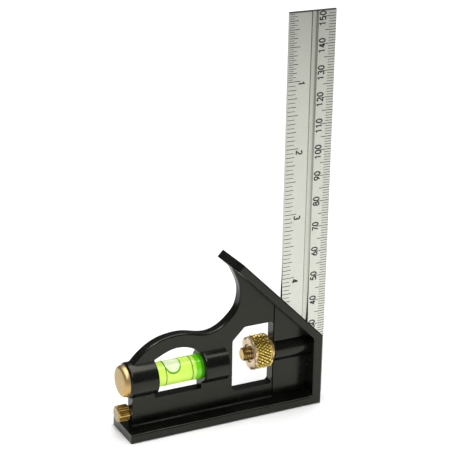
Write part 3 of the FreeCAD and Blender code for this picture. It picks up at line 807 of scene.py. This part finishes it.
# ---------------------------------------------------------------------------------------------- vial cap
CAP = brass("cap_brass", (0.50, 0.385, 0.205), (0.61, 0.475, 0.26), (0.42, 0.27, 0.08), 0.40, 0.52, turned=5200, bump=0.25,
            centre=21.6 * MM, metal=0.92)
cap_profile = [(-1.0, 0.0), (-0.998, 1.0), (-0.99, 2.0), (-0.975, 3.0), (-0.95, 3.9), (-0.92, 4.4)]
for k in range(1, 13):
    a = math.radians(12 + 78 * k / 12)
    cap_profile.append((0.66 - 1.62 * math.cos(a), 4.42 + 1.58 * math.sin(a)))
cap_profile += [(1.12, 6.0), (1.28, 5.95), (1.38, 5.82), (1.40, 5.6), (1.40, 4.85), (1.45, 4.80),
               (5.1, 4.80), (5.25, 4.72), (5.30, 4.55), (5.30, 0.0)]
v, f = lathe(cap_profile, 160, 21.6)
cap = piece("vial_cap_turned", v, f, CAP, "head", angle=30)
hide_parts("vial_cap")


# ---------------------------------------------------------------------------------------------- the vial
def vial():
    zc = 21.6
    outer, inner = 4.72, 3.50
    prof = [(5.5, 3.50), (5.5, 4.60), (5.55, 4.69), (5.62, 4.72)]
    prof += [(5.62 + (36.58 - 5.62) * k / 24, outer) for k in range(1, 25)]
    prof += [(36.65, 4.69), (36.7, 4.60), (36.7, 2.3), (36.7, 0.0)]
    back = [(30.6, 0.0), (30.6, 2.0), (30.6, 3.35), (30.5, 3.50)] + [(30.5 - (30.5 - 5.5) * k / 20, inner) for k in range(1, 20)]
    # the outside and the cavity are one closed skin
    seg = 128
    rings = []
    for x, r in prof + back:
        rings.append([P(x, 0, zc)] if r <= 0 else
                     [P(x, -r * math.sin(2 * math.pi * i / seg), zc + r * math.cos(2 * math.pi * i / seg)) for i in range(seg)])
    verts, faces = ring_mesh(rings, True)
    wet = []
    lo = (5.5 - X0) * MM
    for face in faces:
        c = np.mean([verts[i] for i in face], axis=0)
        r = math.hypot(c[1], c[2] - zc * MM) / MM
        x = c[0] / MM + X0
        wet.append(1 if (r < 3.6 and 5.6 < x < 31.0) else 2 if (r > 4.0 and 30.9 < x < 36.6) else 0)
    return verts, faces, wet


v, f, wet = vial()
tube = piece("vial_tube_clear", v, f, [acrylic(), index_matched(), end_green()], "head", angle=30, index=wet)
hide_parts("vial_tube")

SPIRIT = spirit()
liquid_profile = [(9.53, 0.0), (9.53, 3.3), (9.6, 3.46)] + [(9.6 + 20.87 * k / 40, 3.47) for k in range(1, 40)] + \
    [(30.5, 3.46), (30.57, 3.3), (30.57, 0.0)]
v, f = lathe(liquid_profile, 96, 21.6)
liquid = piece("vial_liquid_lime", v, f, SPIRIT, "head", angle=40)
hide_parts("vial_liquid")


def bubble():
    """A lens of air against the top of the bore, drawn on polar rings."""
    zc, cx, half, span = 21.6, 19.45, 3.45, math.radians(80)
    rings, rim = [], []
    n = 72
    levels = [k / 20 for k in range(18)] + [0.88, 0.91, 0.94, 0.97, 1.0]

    def row(s, depth):
        out = []
        for i in range(n):
            a = 2 * math.pi * i / n
            c, d = math.cos(a), math.sin(a)
            k = (abs(c) ** 2.3 + abs(d) ** 2.3) ** (-1 / 2.3)
            x = cx + half * s * k * c
            t = span * s * k * d
            r = 3.488 - depth
            out.append(P(x, -r * math.sin(t), zc + r * math.cos(t)))
        return out

    # rim weights the painted dark-green outline at the bubble's edge
    for s in levels:
        if s == 0:
            rings.append([P(cx, 0, zc + 3.488)])
            rim.append(0.0)
        else:
            rings.append(row(s, 0.0))
            rim += [min(1.0, max(0.0, (s - 0.80) / 0.10))] * n
    for s in reversed(levels[:-1]):
        depth = 1.3 * (1 - s ** 2)
        if s == 0:
            rings.append([P(cx, 0, zc + 3.488 - 1.3)])
            rim.append(0.0)
        else:
            rings.append(row(s, depth))
            rim += [min(1.0, max(0.0, (s - 0.80) / 0.10))] * n
    v, f = ring_mesh(rings)
    return v, f, rim


v, f, rim = bubble()
piece("vial_bubble", v, f, bubble_air(), "head", angle=60, attrs={"rim": rim})

LINES = line_green()
for k, x in enumerate((16.0, 26.6)):
    w = 0.32
    loop = [(x - w / 2, 4.715), (x - w / 2, 4.735), (x + w / 2, 4.735), (x + w / 2, 4.715)]
    v, f = lathe(loop, 128, 21.6, loop=True)
    piece("vial_line_%d" % (k + 1), v, f, LINES, "head", angle=30)

dress_node("vial_plug", plug_plastic())
dress_node("clamp_spring", plain_steel("spring_steel", (0.42, 0.42, 0.43), (0.62, 0.62, 0.63), 0.22, 0.36))
dress_node("scriber_needle", plain_steel("needle_steel", (0.50, 0.50, 0.52), (0.68, 0.68, 0.70), 0.14, 0.26))
# painted shade: the bushing's brass is given a near-black brown for the shade between the knob and the head
dress_node("scriber_bushing", brass("bushing_brass", (0.10, 0.07, 0.035), (0.16, 0.115, 0.06), (0.05, 0.03, 0.015), 0.35, 0.5))


# ---------------------------------------------------------------------------------------------- floor and light
def floor():
    me = bpy.data.meshes.new("floor")
    s = 4.0
    me.from_pydata([(-s, -s, 0), (s, -s, 0), (s, s, 0), (-s, s, 0)], [], [(0, 1, 2, 3)])
    m = Mat("floor_pale").set(Roughness=0.9, Specular_IOR_Level=0.0)
    m.set(Base_Color=(0.93, 0.93, 0.925, 1.0))
    me.materials.append(m.mat)
    ob = bpy.data.objects.new("floor", me)
    ob.location = (0, 0, -0.00002)
    scene.collection.objects.link(ob)


def area(name, place, target, size, radiance, colour=(1, 1, 1)):
    data = bpy.data.lights.new(name, "AREA")
    data.shape = "RECTANGLE"
    data.size, data.size_y = size
    data.energy = radiance * math.pi * size[0] * size[1]
    data.color = colour
    ob = bpy.data.objects.new(name, data)
    ob.location = place
    d = Vector(target) - Vector(place)
    ob.rotation_euler = d.to_track_quat("-Z", "Y").to_euler()
    scene.collection.objects.link(ob)
    return ob


def spot(name, place, target, angle, power, blend=0.6, radius=0.2):
    data = bpy.data.lights.new(name, "SPOT")
    data.spot_size = math.radians(angle)
    data.spot_blend = blend
    data.energy = power
    data.shadow_soft_size = radius
    ob = bpy.data.objects.new(name, data)
    ob.location = place
    d = Vector(target) - Vector(place)
    ob.rotation_euler = d.to_track_quat("-Z", "Y").to_euler()
    scene.collection.objects.link(ob)


floor()
area("softbox", (0.15, 0.07, 0.90), (0.15, 0.07, 0.0), (1.20, 0.93), 3.65)
spot("back_fill", (0.62, 1.10, 1.00), (0.35, 0.66, 0.0), 48, 26.0, 0.75, 0.15)

spot("front_key", (-0.22, -0.55, 0.80), (-0.01, -0.06, 0.0), 24, 14.0, 0.8, 0.12)
spot("front_fill", (0.26, -0.33, 0.80), (0.26, -0.33, 0.0), 42, 6.0, 0.6, 0.12)

world = bpy.data.worlds.new("studio")
world.use_nodes = True
world.node_tree.nodes["Background"].inputs["Color"].default_value = (0.115, 0.115, 0.12, 1.0)
world.node_tree.nodes["Background"].inputs["Strength"].default_value = 1.0
scene.world = world

scene.view_settings.view_transform = "Standard"
scene.view_settings.look = "None"
scene.view_settings.exposure = 0.0
scene.view_settings.gamma = 1.0

bpy.context.view_layer.update()
